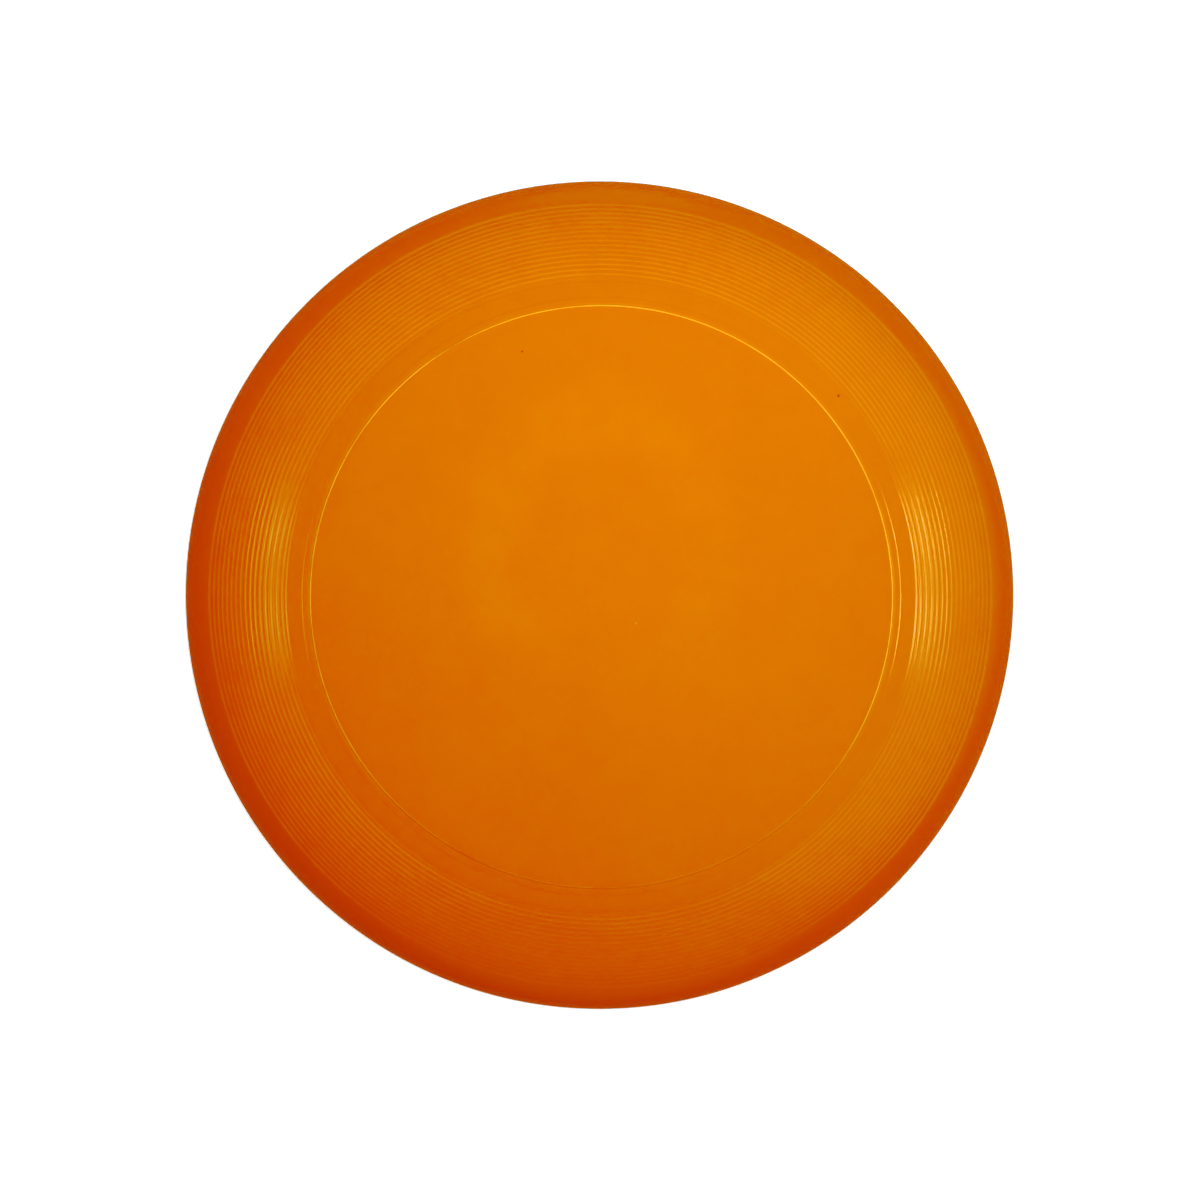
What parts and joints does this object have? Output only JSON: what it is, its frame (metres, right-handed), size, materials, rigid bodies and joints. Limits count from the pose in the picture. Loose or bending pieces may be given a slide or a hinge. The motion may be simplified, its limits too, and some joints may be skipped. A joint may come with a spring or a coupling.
{
  "type": "flying disc",
  "caption": "One-piece round throwing disc: flat flight plate, ringed shoulder and rounded rim, open underneath.",
  "frame": {"origin": "on the disc's axis, in the plane of the rim's flat land, which is the surface it rests on", "axes": "+Z along the disc's axis, from the open underside to the flight plate; X and Y lie in the plane of the rim, and either may point any way because the disc is round"},
  "size_m": [0.274, 0.274, 0.032],
  "materials": {
    "orange_polyethylene": "smooth moulded, semi-gloss, slightly translucent"
  },
  "bodies": {
    "root": {"disc_body": "orange_polyethylene"}
  },
  "joints": []
}
